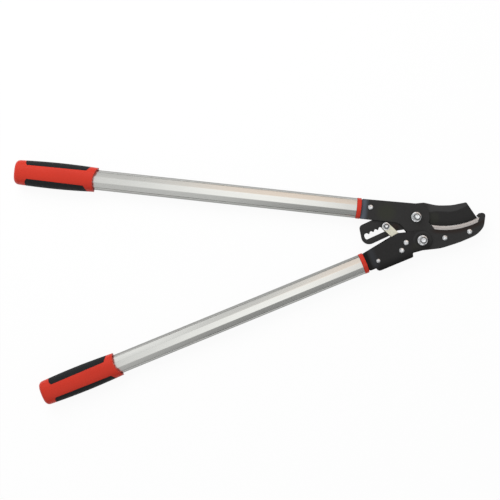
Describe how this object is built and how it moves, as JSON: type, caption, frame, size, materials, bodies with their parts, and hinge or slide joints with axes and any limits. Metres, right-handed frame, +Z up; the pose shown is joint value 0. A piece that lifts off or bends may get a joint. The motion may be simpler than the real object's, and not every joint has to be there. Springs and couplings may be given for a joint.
{
  "type": "ratchet anvil lopper",
  "caption": "Long-handled anvil lopper: a notched blade tail, stepped by a ratchet link, closes the blade on an anvil held between jaw plates.",
  "frame": {"origin": "centre of the underside of the lopper's box, as it lies flat with the jaws shut", "axes": "+X along the upper handle towards the jaws, +Z up out of the jaw's plane, +Y from the lower handle towards the upper handle"},
  "size_m": [0.7536, 0.3922, 0.0364],
  "materials": {
    "black_steel": "matt black coating with a faint grain",
    "anvil_metal": "bare, brushed along its length",
    "bright_steel": "bright zinc plate",
    "zinc": "pale zinc plate",
    "tube_aluminium": "satin anodised, drawn along its length",
    "red_plastic": "moulded, satin to gloss",
    "soft_black": "matt moulded soft grip",
    "spring_steel": "drawn wire"
  },
  "bodies": {
    "jaw_frame": {"front_jaw_plate": "black_steel", "back_jaw_plate": "black_steel", "anvil": "anvil_metal", "anvil_rivet_heel": "bright_steel", "anvil_rivet_nose": "bright_steel", "upper_tang_core": "zinc", "upper_tang_rivet": "bright_steel", "upper_collar": "red_plastic", "upper_tube": "tube_aluminium", "upper_grip": "red_plastic", "upper_grip_pad_outer": "soft_black", "upper_grip_pad_inner": "soft_black", "blade_pivot_bolt": "bright_steel", "blade_pivot_washer_front": "bright_steel", "blade_pivot_washer_back": "bright_steel", "blade_pivot_nut": "bright_steel", "handle_pivot_spacer": "bright_steel"},
    "blade": {"blade": "black_steel"},
    "lower_handle": {"lower_bracket": "black_steel", "lower_tang_core": "zinc", "lower_tang_rivet": "bright_steel", "lower_collar": "red_plastic", "lower_tube": "tube_aluminium", "lower_grip": "red_plastic", "lower_grip_pad_outer": "soft_black", "lower_grip_pad_inner": "soft_black", "handle_pivot_bolt": "bright_steel", "handle_pivot_washer_front": "bright_steel", "handle_pivot_washer_back": "bright_steel", "handle_pivot_nut": "bright_steel", "link_pivot_rivet": "bright_steel", "spring_anchor_rivet": "bright_steel", "link_spring": "spring_steel"},
    "ratchet_link": {"front_link": "zinc", "back_link": "zinc", "ratchet_pin": "bright_steel", "ratchet_pin_washer": "bright_steel", "ratchet_pin_nut": "bright_steel"}
  },
  "joints": [
    {"name": "handle_hinge", "type": "hinge", "parent": "jaw_frame", "child": "lower_handle", "pos_m": [0.28065, 0.12822, 0.01645], "axis": [0, 0, 1], "range_deg": [0, 60]},
    {"name": "blade_hinge", "type": "hinge", "parent": "jaw_frame", "child": "blade", "pos_m": [0.26725, 0.16422, 0.01645], "axis": [0, 0, 1], "range_deg": [0, 32]},
    {"name": "link_hinge", "type": "hinge", "parent": "lower_handle", "child": "ratchet_link", "pos_m": [0.25513, 0.12178, 0.01645], "axis": [0, 0, 1], "range_deg": [-57, 0], "deforming": ["link_spring"]}
  ],
  "couplings": [
    {"joint": "blade_hinge", "follows": "handle_hinge", "ratio": 0.52},
    {"joint": "link_hinge", "follows": "handle_hinge", "ratio": -0.942}
  ]
}
